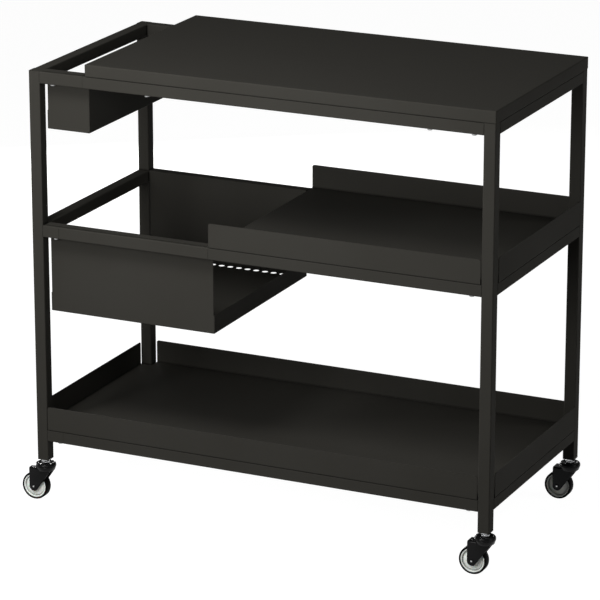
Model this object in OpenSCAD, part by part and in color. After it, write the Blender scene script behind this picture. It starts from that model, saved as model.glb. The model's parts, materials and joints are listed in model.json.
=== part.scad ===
// Utility cart: a square-tube frame on four swivel casters, with a folded worktop,
// two trays and two bins that hang between the long rails.
// Lengths are in millimetres. Modules are written with X from the frame's left face,
// Y from its front face and Z from the floor; centred() moves them to the origin.

/* [Frame] */
// Length over the legs
frame_l = 915; // [800:5:1100]
// Depth over the legs
frame_d = 443; // [360:1:560]
// Length of the legs
leg_l = 750.5; // [700:0.5:850]
// Side of the square tube
tube = 22.5; // [21:0.5:25]
// Wall of the square tube
tube_wall = 1.5; // [1:0.1:2]
// Outer corner radius of the square tube
tube_corner = 2; // [1:0.1:3]
// Rise from the legs' lower ends to the bottom rails
bottom_rail_rise = 38.5; // [25:0.5:80]
// Rise from the bottom rails to the middle rails
middle_rail_rise = 399; // [330:1:430]
// Length of the stubs welded to the left legs at the middle and bottom
stub_l = 33.1; // [30:0.1:50]
// How far the top seam and the score line lie inside the bins' right ends
seam_inset = 1.2; // [0.8:0.1:3]
// Gap that shows at each seam
seam_gap = 0.4; // [0.1:0.1:0.8]
// Width of the score line on the middle rails
score_w = 0.8; // [0.4:0.1:1.5]
// Depth of the score line on the middle rails
score_depth = 0.4; // [0.2:0.1:0.8]

/* [Rail connectors] */
// Clearance between a connector and the tube around it
connector_gap = 0.2; // [0.1:0.05:0.4]
// Wall of a connector
connector_wall = 2.5; // [1.5:0.1:4]
// How far a connector runs past its seam
connector_reach = 26; // [20:1:40]
// Distance of a left connector's inner end from the leg
connector_inset = 7; // [2:0.5:10]
// Length of a right connector, from the right leg
right_connector_l = 39; // [32:1:60]

/* [Screws] */
// Distance of the joint screws from the frame's ends
joint_screw_in = 44; // [40:0.5:48]
// Diameter of a screw's head
screw_head_d = 10.2; // [9:0.1:11]
// Height of a screw's head
screw_head_h = 4.6; // [3.5:0.1:6]
// Radius of the rounding on a screw's head
screw_head_round = 2; // [0.5:0.1:3]
// Width across the flats of the socket in a screw's head
screw_socket = 4; // [3:0.1:5]
// Depth of the socket in a screw's head
screw_socket_h = 2.4; // [1:0.1:3]
// Diameter of a screw's shank
screw_d = 6; // [5:0.1:6.5]
// Length of a joint screw's shank past the connector's wall
screw_end = 2; // [1:0.5:6]
// Radial clearance of a shank in a tube's hole
hole_gap = 0.25; // [0.1:0.05:0.4]
// Radial clearance of a thread or a pressed stem
thread_gap = 0.05; // [0.02:0.01:0.08]
// Distance of the left worktop screws from the worktop's left end
worktop_screw_left = 121; // [60:1:200]
// Distance of the right worktop screws from the worktop's right end
worktop_screw_right = 128; // [60:1:200]
// Width across the flats of a worktop nut
nut_flats = 10; // [9:0.5:11]
// Length of a worktop screw past its nut
screw_past_nut = 1; // [0.5:0.1:3]
// Height of a worktop nut
nut_h = 5; // [3:0.5:6]

/* [Folded sheet] */
// Thickness of the worktop's and trays' sheet
sheet = 1.2; // [0.8:0.1:1.6]
// Thickness of the bins' sheet
bin_sheet = 1; // [0.7:0.1:1.5]
// Inner radius of every fold
fold_in = 1; // [0.5:0.1:1.5]
// How far the worktop and the trays stand proud of the frame
proud = 0.8; // [0.3:0.1:2]

/* [Worktop] */
// Distance from the frame's left face to the worktop
worktop_start = 116; // [114:1:300]
// Thickness of the worktop
worktop_t = 23; // [18:0.5:40]
// Width of the flange folded in under the worktop
worktop_flange = 20; // [18:0.5:21]
// Width of a stiffening channel's crown
stiffener_w = 36; // [24:1:60]
// Height of a stiffening channel
stiffener_h = 14; // [8:1:16]
// Width of a stiffening channel's feet
stiffener_foot = 12; // [8:1:20]
// Distance of the stiffening channels from the worktop's middle line
stiffener_off = 85; // [50:1:110]
// Clearance at the ends of a stiffening channel
stiffener_end = 24; // [22:1:60]

/* [Trays] */
// Height of the trays' walls above the rails
tray_wall = 46; // [25:1:80]
// Radius of the upper corners of the trays' walls
tray_corner = 4; // [2:0.5:10]
// Gap between a tray and the legs
leg_gap = 1.5; // [0.8:0.1:3]
// Depth of the lip folded down at the middle tray's open end
tray_lip = 12; // [6:1:20]
// Gap between the middle tray and the large bin
tray_bin_gap = 0.5; // [0.3:0.1:3]

/* [Bins] */
// Length of the small bin
small_bin_l = 87.7; // [75:0.1:88]
// Depth of the small bin below the top rails' upper faces
small_bin_h = 112; // [80:1:200]
// Length of the large bin
large_bin_l = 338.3; // [200:0.1:420]
// Depth of the large bin below the middle rails' upper faces
large_bin_h = 170; // [100:1:260]
// Gap between the bins and the left cross rails
bin_end_gap = 1.7; // [1:0.1:4]
// Gap between the bins and the long rails
bin_side_gap = 0.5; // [0.3:0.1:1.5]
// Height of the lips at the bins' open ends
bin_lip = 35; // [20:1:60]
// Width of the hangers that lie on the long rails
hanger_w = 18; // [12:0.5:20]
// Diameter of the holes in the large bin's floor
bin_hole_d = 12.2; // [8:0.1:16]
// Distance between the holes in the large bin's floor
bin_hole_pitch = 18.6; // [17:0.1:30]
// Distance of the holes' centres from the back wall's inner face
bin_hole_in = 7.8; // [7.8:0.1:20]
// Length left without holes at each end of the large bin
bin_hole_margin = 28; // [20:1:60]

/* [Casters] */
// Diameter of a wheel
wheel_d = 53; // [45:1:60]
// Width of a tyre
wheel_w = 17; // [14:0.5:18]
// Radial thickness of a tyre
tyre_t = 3.3; // [2.5:0.1:5]
// Radius of a tyre's shoulders
tyre_round = 1.5; // [1:0.1:1.6]
// Distance between the swivel axis and the axle
trail = 21; // [19:0.5:26]
// Clearance between a tyre and the fork's crown
crown_gap = 9; // [7:0.5:14]
// Clearance between the fork's cheeks
fork_inner = 20; // [19:0.5:24]
// Thickness of the fork's sheet
fork_sheet = 2; // [1.5:0.1:2.5]
// Outer radius of the bend between the crown and the cheeks
crown_round = 3; // [2.5:0.1:4]
// Radius of a cheek around the axle
cheek_r = 9; // [7:0.1:11]
// Reach of a cheek's front edge from the axle
cheek_front = 34.5; // [24:0.5:35.5]
// Height above the axle at which a cheek's slanted edge starts
cheek_slant = 33.5; // [24:0.1:35]

/* [Swivel race] */
// Radius of the race where it is widest
race_r = 19.6; // [18.5:0.1:22]
// Radius of the race at its lower rim
race_foot_r = 17.3; // [16:0.1:17.8]
// Height of the lower race
race_h = 9; // [8.5:0.1:12]
// Depth of the lower race below the crown's underside
race_drop = 1.5; // [0.5:0.1:4]
// Height of the lower race's straight rim
race_rim = 1; // [0.6:0.1:2]
// Width of the chamfer round the lower race's foot
race_foot_edge = 0.8; // [0.3:0.1:1.5]
// Height of the upper race
cap_h = 5.3; // [5:0.1:8]
// Radius of the upper race's shoulder
cap_round = 4.4; // [2:0.1:4.8]
// Width of the flat rim round the dish in the upper race's top
cap_rim = 1; // [0.5:0.1:2]
// Depth of the dish in the upper race's top
cap_dish_h = 1.4; // [0.5:0.1:2]
// Gap between the upper and the lower race
race_gap = 0.2; // [0.1:0.05:0.6]
// Radius of the circle that the balls run on
ball_ring_r = 12; // [11:0.5:13]
// Diameter of a ball
ball_d = 3.5; // [3:0.1:4]
// Number of balls in a race
balls = 10; // [6:1:14]
// Clearance of the balls in their grooves
ball_gap = 0.05; // [0.03:0.01:0.08]

/* [Stem and axle] */
// Diameter of the stem above the race
stem_d = 10; // [9:0.5:12]
// Diameter of the stem inside the race
pivot_d = 8; // [7:0.5:8.5]
// Length of the stem inside the leg
stem_in_leg = 22; // [15:1:40]
// Length of the insert in the leg
insert_l = 25; // [15:1:50]
// Width across the flats of the stem's collar and of its nut
stem_nut_flats = 15; // [14:0.5:18]
// Height of the stem's collar
stem_collar_h = 4.2; // [2:0.1:8]
// Stem left bare between its collar and its nut
stem_bare = 1.5; // [0.5:0.1:10]
// Height of the stem's nut
stem_nut_h = 3.2; // [2:0.1:10]
// Height of the corners cut off the collar and the nut
nut_edge = 0.5; // [0.2:0.1:0.8]
// Radius of the rivet head that holds the fork
rivet_r = 7; // [6:0.1:8]
// Height of the rivet head that holds the fork
rivet_h = 2; // [1.5:0.1:2.5]
// Depth of the rivet head inside the lower race
rivet_sunk = 2.7; // [1:0.1:4]
// Radial clearance of the fork and the hub on their pivots
running_gap = 0.06; // [0.03:0.01:0.09]
// Diameter of the axle
axle_d = 5; // [4:0.1:6]
// Radius of the axle's heads
axle_head_r = 3.6; // [3.4:0.1:5]
// Height of the axle's heads
axle_head_h = 1.2; // [0.8:0.1:2]

/* [Hub] */
// Width of the hub's rim
hub_rim_w = 15; // [12:0.5:16]
// Radial width of the hub's raised rim
hub_rim_t = 2.7; // [1.5:0.1:4]
// Thickness of the hub's disc
hub_disc_t = 10; // [6:0.5:13]
// Radius of the hub's boss
boss_r = 6.5; // [5:0.1:9]
// Gap between the hub's boss and a cheek
boss_gap = 0.5; // [0.3:0.1:1]

/* [Hidden] */
$fn = 64;

// Colours
PAINT = "#45423f";
BLACK = "#1d1d1e";
ZINC = "#b9bcc0";
HUB_GREY = "#d6d8d6";
RUBBER = "#161616";

// A length that cuts right through whatever it meets
through = 60;
// An overlap that joins solids which would only touch
weld = 0.2;
// How far a straight edge lies inside the arc that it runs into
edge_inset = 0.05;
// How far the round face of a nut lies inside its flats
nut_face_in = 0.1;

// Casters, from the floor up
axle_z = wheel_d / 2;
crown_z = wheel_d + crown_gap;
crown_top = crown_z + fork_sheet;
race_foot_z = crown_z - race_drop;
race_top = race_foot_z + race_h;
cap_z = race_top + race_gap;
cap_top = cap_z + cap_h;
dish_z = cap_top - cap_dish_h;
dish_r = race_r - cap_round - cap_rim;
collar_top = dish_z + stem_collar_h;
stem_nut_z = collar_top + stem_bare;
leg_foot = stem_nut_z + stem_nut_h;
fork_outer = fork_inner + 2 * fork_sheet;
hub_r = axle_z - tyre_t - thread_gap;
boss_w = fork_inner - 2 * boss_gap;
rivet_roof = race_foot_z + race_gap + rivet_h + rivet_sunk;

// Levels and places of the frame
frame_top = leg_foot + leg_l;
axis_in = tube / 2;
rail_levels = [
    leg_foot + bottom_rail_rise,
    leg_foot + bottom_rail_rise + middle_rail_rise,
    frame_top - tube
];
bottom_z = rail_levels[0];
middle_z = rail_levels[1];
top_z = rail_levels[2];
right_leg = frame_l - tube;
back_leg = frame_d - tube;

// The tube's inside
bore_w = tube - 2 * tube_wall;
bore_corner = max(tube_corner - tube_wall, 0.4);
connector_w = bore_w - 2 * connector_gap;

// Bins
bin_start = tube + bin_end_gap;
bin_w = frame_d - 2 * tube - 2 * bin_side_gap;
bin_y = tube + bin_side_gap;
bin_fold = fold_in + bin_sheet;
small_bin_end = bin_start + small_bin_l;
large_bin_end = bin_start + large_bin_l;
bin_holes = 1 + floor((large_bin_l - 2 * bin_hole_margin) / bin_hole_pitch);
bin_hole_first = bin_start + large_bin_l / 2 - (bin_holes - 1) * bin_hole_pitch / 2;
bin_hole_y = bin_y + bin_w - bin_sheet - bin_hole_in;

// Seams of the long rails, at the bottom, middle and top
seams = [tube + stub_l, tube + stub_l, small_bin_end - seam_inset];
score_x = large_bin_end - seam_inset;

// Worktop and trays
fold_out = fold_in + sheet;
worktop_end = frame_l + proud;
worktop_l = worktop_end - worktop_start;
proud_d = frame_d + 2 * proud;
worktop_screws_x = [worktop_start + worktop_screw_left, worktop_end - worktop_screw_right];
tray_start = large_bin_end + tray_bin_gap;

// The corners that carry a leg and a caster: name, place across, place in depth
CORNERS = [
    ["front_left", axis_in, axis_in],
    ["back_left", axis_in, frame_d - axis_in],
    ["front_right", frame_l - axis_in, axis_in],
    ["back_right", frame_l - axis_in, frame_d - axis_in]
];
LEVELS = [["bottom", 0], ["middle", 1], ["top", 2]];
ENDS = [["left", axis_in], ["right", frame_l - axis_in]];
SIDES = [["front", axis_in], ["back", frame_d - axis_in]];

// The outline's middle, which the origin stands under
outline_left = axis_in - trail - wheel_d / 2;
outline_right = frame_l - axis_in + race_r;
centre = [(outline_left + outline_right) / 2, frame_d / 2, 0];

module centred() {
    translate(-centre) children();
}

module at_corner(corner) {
    centred() translate([corner[1], corner[2], 0]) children();
}

// Outlines

// Rectangle with four rounded corners, from the origin
module rounded_rect(w, h, r) {
    translate([r, 0]) square([w - 2 * r, h]);
    translate([0, r]) square([w, h - 2 * r]);
    for (x = [r, w - r], y = [r, h - r]) translate([x, y]) circle(r);
}

// Rectangle whose two upper corners are rounded
module arch_rect(w, h, r) {
    square([w, h - r]);
    translate([r, 0]) square([w - 2 * r, h]);
    for (x = [r, w - r]) translate([x, h - r]) circle(r);
}

// Section of the square tube, centred
module tube_section() {
    difference() {
        translate([-tube / 2, -tube / 2]) rounded_rect(tube, tube, tube_corner);
        tube_bore();
    }
}

module tube_bore() {
    translate([-bore_w / 2, -bore_w / 2]) rounded_rect(bore_w, bore_w, bore_corner);
}

// Section of a strip folded down at its left end: top runs right, drop runs down
module folded_strip(top, drop, t) {
    r = fold_in + t;
    intersection() {
        difference() {
            circle(r);
            circle(fold_in);
        }
        translate([-r, 0]) square(r);
    }
    translate([0, fold_in]) square([top, t]);
    translate([-r, -drop]) square([t, drop]);
}

// Solids used in several places

module tube_x(x0, x1, y, z) {
    translate([x0, y, z]) rotate([90, 0, 90]) linear_extrude(x1 - x0) tube_section();
}

module tube_y(y0, y1, x, z) {
    translate([x, y0, z]) rotate([-90, 0, 0]) linear_extrude(y1 - y0) tube_section();
}

// Block whose every edge is rounded, from the origin
module rounded_block(w, d, h, r) {
    intersection() {
        linear_extrude(h) rounded_rect(w, d, r);
        translate([0, d, 0]) rotate([90, 0, 0]) linear_extrude(d) rounded_rect(w, h, r);
        rotate([90, 0, 90]) linear_extrude(w) rounded_rect(d, h, r);
    }
}

// Low dome on a circle of radius r
module dome(r, h) {
    ball_r = (r * r + h * h) / (2 * h);
    intersection() {
        translate([0, 0, h - ball_r]) sphere(ball_r);
        cylinder(r = r, h = h);
    }
}

// Hexagonal bar on the origin, with its corners cut off at both ends
module hex_bar(flats, h) {
    corner_r = flats / sqrt(3);
    face_r = flats / 2 - nut_face_in;
    intersection() {
        cylinder(r = corner_r, h = h, $fn = 6);
        rotate_extrude() polygon([
            [0, 0],
            [face_r, 0],
            [corner_r + nut_face_in, nut_edge],
            [corner_r + nut_face_in, h - nut_edge],
            [face_r, h],
            [0, h]
        ]);
    }
}

// Hexagonal nut with a round bore, standing on the origin
module hex_nut(flats, h, bore_d) {
    difference() {
        hex_bar(flats, h);
        translate([0, 0, -1]) cylinder(d = bore_d, h = h + 2);
    }
}

// Frame

module leg() {
    color(PAINT) translate([0, 0, leg_foot]) difference() {
        linear_extrude(leg_l) translate([-tube / 2, -tube / 2]) rounded_rect(tube, tube, tube_corner);
        translate([0, 0, -1]) linear_extrude(leg_l - tube_wall + 1) tube_bore();
    }
}

module cross_rail(x, level) {
    color(PAINT) tube_y(tube, back_leg, x, rail_levels[level] + tube / 2);
}

module screw_hole(x, y, z, h) {
    translate([x, y, z]) cylinder(d = screw_d + 2 * hole_gap, h = h);
}

module long_rail(y, level) {
    z = rail_levels[level];
    color(PAINT) difference() {
        tube_x(seams[level] + seam_gap, right_leg, y, z + tube / 2);
        screw_hole(frame_l - joint_screw_in, y, z - 1, tube / 2);
        if (seams[level] < joint_screw_in + screw_d)
            screw_hole(joint_screw_in, y, z - 1, tube / 2);
        if (level == 2)
            for (x = worktop_screws_x) screw_hole(x, y, z - 1, tube + 2);
        if (level == 1)
            score_line(y, z);
    }
}

// Fine line across a middle rail's outer face and top, where the large bin ends
module score_line(y, z) {
    outer_y = y < frame_d / 2 ? 0 : frame_d - score_depth;
    translate([score_x, outer_y, z]) cube([score_w, score_depth, tube]);
    translate([score_x, y - tube / 2, z + tube - score_depth]) cube([score_w, tube, score_depth]);
}

module rail_stubs() {
    color(PAINT) for (level = [0:2], side = SIDES) difference() {
        tube_x(tube, seams[level], side[1], rail_levels[level] + tube / 2);
        screw_hole(joint_screw_in, side[1], rail_levels[level] - 1, tube / 2);
    }
}

// Square connector inside the rails, with the thread for its joint screw
module connector(x0, x1, screw_x) {
    side_in = connector_w - 2 * connector_wall;
    difference() {
        translate([x0, -connector_w / 2, -connector_w / 2]) cube([x1 - x0, connector_w, connector_w]);
        translate([x0 - 1, -side_in / 2, -side_in / 2]) cube([x1 - x0 + 2, side_in, side_in]);
        translate([screw_x, 0, -tube / 2]) cylinder(d = screw_d + 2 * thread_gap, h = tube / 2);
    }
}

module left_connectors() {
    color(BLACK) for (level = [0:2], side = SIDES)
        translate([0, side[1], rail_levels[level] + tube / 2])
            connector(tube + connector_inset, seams[level] + connector_reach, joint_screw_in);
}

module right_connectors() {
    color(BLACK) for (level = [0:2], side = SIDES)
        translate([0, side[1], rail_levels[level] + tube / 2])
            connector(right_leg - right_connector_l, right_leg, frame_l - joint_screw_in);
}

// Fasteners

// Screw with its head below the origin and its shank above
module screw(shank_l) {
    difference() {
        mirror([0, 0, 1]) rotate_extrude() intersection() {
            translate([-screw_head_d / 2, 0]) arch_rect(screw_head_d, screw_head_h, screw_head_round);
            square([screw_head_d, screw_head_h]);
        }
        translate([0, 0, -screw_head_h - 1])
            cylinder(r = screw_socket / sqrt(3), h = screw_socket_h + 1, $fn = 6);
    }
    translate([0, 0, -weld]) cylinder(d = screw_d, h = shank_l + weld);
}

module joint_screws() {
    shank_l = tube_wall + connector_gap + connector_wall + screw_end;
    color(ZINC) for (z = rail_levels, side = SIDES, x = [joint_screw_in, frame_l - joint_screw_in])
        translate([x, side[1], z]) screw(shank_l);
}

module worktop_screws() {
    color(ZINC) for (x = worktop_screws_x, side = SIDES)
        translate([x, side[1], top_z]) screw(tube + sheet + nut_h + screw_past_nut);
}

module worktop_nuts() {
    color(ZINC) for (x = worktop_screws_x, side = SIDES)
        translate([x, side[1], frame_top + sheet]) hex_nut(nut_flats, nut_h, screw_d + 2 * thread_gap);
}

// Worktop: a pan of folded sheet, upside down, with a flange folded in on the rails
module worktop() {
    color(PAINT) difference() {
        translate([worktop_start, -proud, frame_top])
            rounded_block(worktop_l, proud_d, worktop_t, fold_out);
        translate([worktop_start + sheet, sheet - proud, frame_top + sheet])
            rounded_block(worktop_l - 2 * sheet, proud_d - 2 * sheet, worktop_t - 2 * sheet, fold_in);
        translate([worktop_start + worktop_flange, worktop_flange - proud, frame_top - 1])
            cube([worktop_l - 2 * worktop_flange, proud_d - 2 * worktop_flange, worktop_t / 2]);
        for (x = worktop_screws_x, side = SIDES) screw_hole(x, side[1], frame_top - 1, sheet + 2);
    }
}

// Section of a stiffening channel, hung from its feet
module channel_section() {
    translate([-stiffener_w / 2, -stiffener_h]) square([stiffener_w, sheet]);
    for (side = [0, 1]) mirror([side, 0]) {
        translate([stiffener_w / 2 - sheet, -stiffener_h]) square([sheet, stiffener_h]);
        translate([stiffener_w / 2 - sheet, -sheet]) square([stiffener_foot + sheet, sheet]);
    }
}

module worktop_stiffeners() {
    x0 = worktop_start + stiffener_end;
    roof = frame_top + worktop_t - sheet;
    color(PAINT) for (side = [-1, 1])
        translate([x0, frame_d / 2 + side * stiffener_off, roof])
            rotate([90, 0, 90]) linear_extrude(worktop_l - 2 * stiffener_end) channel_section();
}

// Trays

// Walls and floor of a tray before it is cut to its outline
module tray_shell(x0, z) {
    w = worktop_end - x0;
    h = tray_wall + 2 * fold_out;
    translate([x0, -proud, z]) difference() {
        rounded_block(w, proud_d, h, fold_out);
        translate([sheet, sheet, sheet])
            rounded_block(w - 2 * sheet, proud_d - 2 * sheet, h, fold_in);
    }
}

// Floor of a tray, cut out round the legs that stand in it
module tray_floor(x0, z, left_legs) {
    notch = tube + leg_gap;
    difference() {
        translate([x0, -proud, z]) cube([worktop_end - x0, proud_d, sheet]);
        for (y = [-1, back_leg - leg_gap]) {
            translate([frame_l - notch, y, z - 1]) cube([notch + 2, notch + 1, sheet + 2]);
            if (left_legs)
                translate([-2, y, z - 1]) cube([notch + 2, notch + 1, sheet + 2]);
        }
    }
}

// Space that the front and back walls of a tray fill, seen from the front
module long_walls(x0, z) {
    translate([x0, frame_d + 2, z]) rotate([90, 0, 0])
        linear_extrude(frame_d + 4) arch_rect(right_leg - leg_gap - x0, tray_wall, tray_corner);
}

// Space that the end walls of a tray fill, seen from the side
module end_walls(x0, z) {
    translate([x0, tube + leg_gap, z]) rotate([90, 0, 90])
        linear_extrude(worktop_end - x0) arch_rect(back_leg - tube - 2 * leg_gap, tray_wall, tray_corner);
}

module bottom_tray() {
    z = bottom_z + tube;
    color(PAINT) intersection() {
        tray_shell(-proud, z);
        union() {
            tray_floor(-proud, z, true);
            long_walls(tube + leg_gap, z);
            end_walls(-proud, z);
        }
    }
}

module middle_tray() {
    z = middle_z + tube;
    lip_y = tube + leg_gap;
    lip_l = back_leg - leg_gap - lip_y;
    color(PAINT) union() {
        difference() {
            intersection() {
                tray_shell(tray_start - tube, z);
                union() {
                    tray_floor(tray_start, z, false);
                    long_walls(tray_start, z);
                    end_walls(tray_start, z);
                }
            }
            translate([tray_start - 1, lip_y, z - 1]) cube([fold_out + 1, lip_l, sheet + 2]);
        }
        translate([tray_start + fold_out, lip_y + lip_l, z - fold_in]) rotate([90, 0, 0])
            linear_extrude(lip_l) folded_strip(weld, tray_lip - fold_out, sheet);
    }
}

// Bins

// Tub of folded sheet, standing on the origin, as deep as the rails' upper faces.
// Where open_left or open_right is true, that end has only a lip.
module tub(l, h, open_left, open_right) {
    wall_h = h - fold_in;
    difference() {
        rounded_block(l, bin_w, h + bin_fold, bin_fold);
        translate([bin_sheet, bin_sheet, bin_sheet])
            rounded_block(l - 2 * bin_sheet, bin_w - 2 * bin_sheet, h + bin_fold, fold_in);
        translate([-1, -1, wall_h]) cube([l + 2, bin_w + 2, 3 * bin_fold]);
        if (open_left)
            translate([-1, -1, bin_lip]) cube([bin_fold + 1, bin_w + 2, h]);
        if (open_right)
            translate([l - bin_fold, -1, bin_lip]) cube([bin_fold + 1, bin_w + 2, h]);
    }
}

// Hangers along the front and back walls, folded out over the rails
module hangers(l, h) {
    top = hanger_w - fold_in - bin_side_gap;
    translate([bin_fold, 0, h - fold_in]) rotate([90, 0, 90]) linear_extrude(l - 2 * bin_fold) {
        translate([-fold_in, 0]) mirror([1, 0]) folded_strip(top, weld, bin_sheet);
        translate([bin_w + fold_in, 0]) folded_strip(top, weld, bin_sheet);
    }
}

module small_bin() {
    color(PAINT) translate([bin_start, bin_y, frame_top - small_bin_h]) {
        tub(small_bin_l, small_bin_h, true, false);
        hangers(small_bin_l, small_bin_h);
    }
}

module large_bin() {
    floor_z = middle_z + tube - large_bin_h;
    color(PAINT) difference() {
        translate([bin_start, bin_y, floor_z]) {
            tub(large_bin_l, large_bin_h, true, true);
            hangers(large_bin_l, large_bin_h);
        }
        for (i = [0:bin_holes - 1])
            translate([bin_hole_first + i * bin_hole_pitch, bin_hole_y, floor_z - 1])
                cylinder(d = bin_hole_d, h = bin_sheet + 2);
    }
}

// Casters, each with its swivel axis on the origin and its wheel trailing to the left

module leg_insert() {
    translate([0, 0, leg_foot]) difference() {
        translate([-connector_w / 2, -connector_w / 2, 0]) cube([connector_w, connector_w, insert_l]);
        translate([0, 0, -1]) cylinder(d = stem_d + 2 * thread_gap, h = insert_l + 2);
    }
}

module stem() {
    color(ZINC) {
        translate([0, 0, dish_z]) hex_bar(stem_nut_flats, stem_collar_h);
        translate([0, 0, collar_top - weld])
            cylinder(d = stem_d, h = leg_foot + stem_in_leg - collar_top + weld);
        translate([0, 0, rivet_roof - race_gap - weld])
            cylinder(d = pivot_d, h = dish_z - rivet_roof + race_gap + 2 * weld);
        translate([0, 0, rivet_roof - race_gap]) mirror([0, 0, 1]) dome(rivet_r, rivet_h);
    }
}

// Groove that the balls run in
module ball_groove() {
    translate([0, 0, race_top + race_gap / 2]) rotate_extrude()
        translate([ball_ring_r, 0]) circle(d = ball_d + 2 * ball_gap);
}

module race_balls() {
    for (i = [0:balls - 1]) rotate([0, 0, i * 360 / balls])
        translate([ball_ring_r, 0, race_top + race_gap / 2]) sphere(d = ball_d);
}

// Half section of the upper race, with a round shoulder and a dished top
module cap_section() {
    difference() {
        intersection() {
            translate([-race_r, 0]) arch_rect(2 * race_r, cap_h, cap_round);
            translate([pivot_d / 2 + thread_gap, 0]) square([race_r, cap_h]);
        }
        polygon([
            [0, cap_h - cap_dish_h],
            [dish_r - cap_dish_h, cap_h - cap_dish_h],
            [dish_r, cap_h],
            [dish_r, cap_h + 1],
            [0, cap_h + 1]
        ]);
    }
}

module swivel_cap() {
    color(BLACK) difference() {
        translate([0, 0, cap_z]) rotate_extrude() cap_section();
        ball_groove();
    }
}

// Side view of a cheek, with the axle at the origin. Its straight edges lie a little
// inside the round end, so that they cross it.
module cheek_outline() {
    edge_r = cheek_r - edge_inset;
    rise = crown_top - axle_z;
    reach = norm([cheek_front, cheek_slant]);
    touch = atan2(cheek_slant, cheek_front) - acos(edge_r / reach);
    circle(cheek_r);
    polygon([
        [-edge_r, 0],
        [0, 0],
        [edge_r * cos(touch), edge_r * sin(touch)],
        [cheek_front, cheek_slant],
        [cheek_front, rise],
        [-edge_r, rise]
    ]);
}

// Front view of the cheeks and the crown, bent from one strip
module yoke_section() {
    rise = crown_top - axle_z + cheek_r + 1;
    difference() {
        translate([-fork_outer / 2, 0]) arch_rect(fork_outer, rise, crown_round);
        translate([-fork_inner / 2, -1])
            arch_rect(fork_inner, rise - fork_sheet + 1, crown_round - fork_sheet);
    }
}

// Flared dish of the lower race, on the crown
module lower_race() {
    translate([0, 0, race_foot_z]) rotate_extrude() polygon([
        [0, 0],
        [race_foot_r - race_foot_edge, 0],
        [race_foot_r, race_foot_edge],
        [race_r, race_h - race_rim],
        [race_r, race_h],
        [0, race_h]
    ]);
}

module fork() {
    color(BLACK) difference() {
        union() {
            intersection() {
                translate([-trail - cheek_r, 0, axle_z - cheek_r - 1]) rotate([90, 0, 90])
                    linear_extrude(cheek_r + cheek_front) yoke_section();
                translate([-trail, fork_outer, axle_z]) rotate([90, 0, 0])
                    linear_extrude(2 * fork_outer) cheek_outline();
            }
            lower_race();
        }
        cylinder(d = pivot_d + 2 * running_gap, h = crown_top + through);
        cylinder(r = rivet_r + 1, h = rivet_roof);
        ball_groove();
        translate([-trail, through / 2, axle_z]) rotate([90, 0, 0])
            cylinder(d = axle_d + 2 * thread_gap, h = through);
    }
}

module axle() {
    color(BLACK) translate([-trail, 0, axle_z]) {
        rotate([90, 0, 0]) cylinder(d = axle_d, h = fork_outer + 2 * weld, center = true);
        for (turn = [90, -90]) rotate([turn, 0, 0])
            translate([0, 0, fork_outer / 2]) dome(axle_head_r, axle_head_h);
    }
}

// Places what is turned about the wheel's axis
module on_axle() {
    translate([-trail, 0, axle_z]) rotate([90, 0, 0]) children();
}

module hub() {
    color(HUB_GREY) on_axle() difference() {
        union() {
            cylinder(r = hub_r, h = hub_disc_t, center = true);
            cylinder(r = boss_r, h = boss_w, center = true);
            difference() {
                cylinder(r = hub_r, h = hub_rim_w, center = true);
                cylinder(r = hub_r - hub_rim_t, h = hub_rim_w + 2, center = true);
            }
        }
        cylinder(d = axle_d + 2 * running_gap, h = through, center = true);
    }
}

module tyre() {
    color(RUBBER) on_axle() rotate_extrude()
        translate([axle_z - tyre_t, -wheel_w / 2]) rounded_rect(tyre_t, wheel_w, tyre_round);
}

// Frame
for (corner = CORNERS)
    at_corner(corner) leg();
for (end = ENDS, level = LEVELS)
    centred() cross_rail(end[1], level[1]);
for (side = SIDES, level = LEVELS)
    centred() long_rail(side[1], level[1]);
centred() rail_stubs();
centred() left_connectors();
centred() right_connectors();

// Fasteners
centred() joint_screws();
centred() worktop_screws();
centred() worktop_nuts();

// Folded sheet
centred() worktop();
centred() worktop_stiffeners();
centred() middle_tray();
centred() bottom_tray();
centred() small_bin();
centred() large_bin();

// Casters
color(BLACK) for (corner = CORNERS) at_corner(corner) leg_insert();  // leg_inserts
color(ZINC) for (corner = CORNERS) at_corner(corner)  // stem_nuts
        translate([0, 0, stem_nut_z]) hex_nut(stem_nut_flats, stem_nut_h, stem_d + 2 * thread_gap);
color(ZINC) for (corner = CORNERS) at_corner(corner) race_balls();  // swivel_balls
for (corner = CORNERS) {
    at_corner(corner) stem();
    at_corner(corner) swivel_cap();
    at_corner(corner) fork();
    at_corner(corner) axle();
    at_corner(corner) hub();
    at_corner(corner) tyre();
}
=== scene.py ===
import json
import logging
import math
from dataclasses import dataclass, field
from enum import Enum

import bmesh
import bpy
from mathutils import Matrix, Vector


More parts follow.
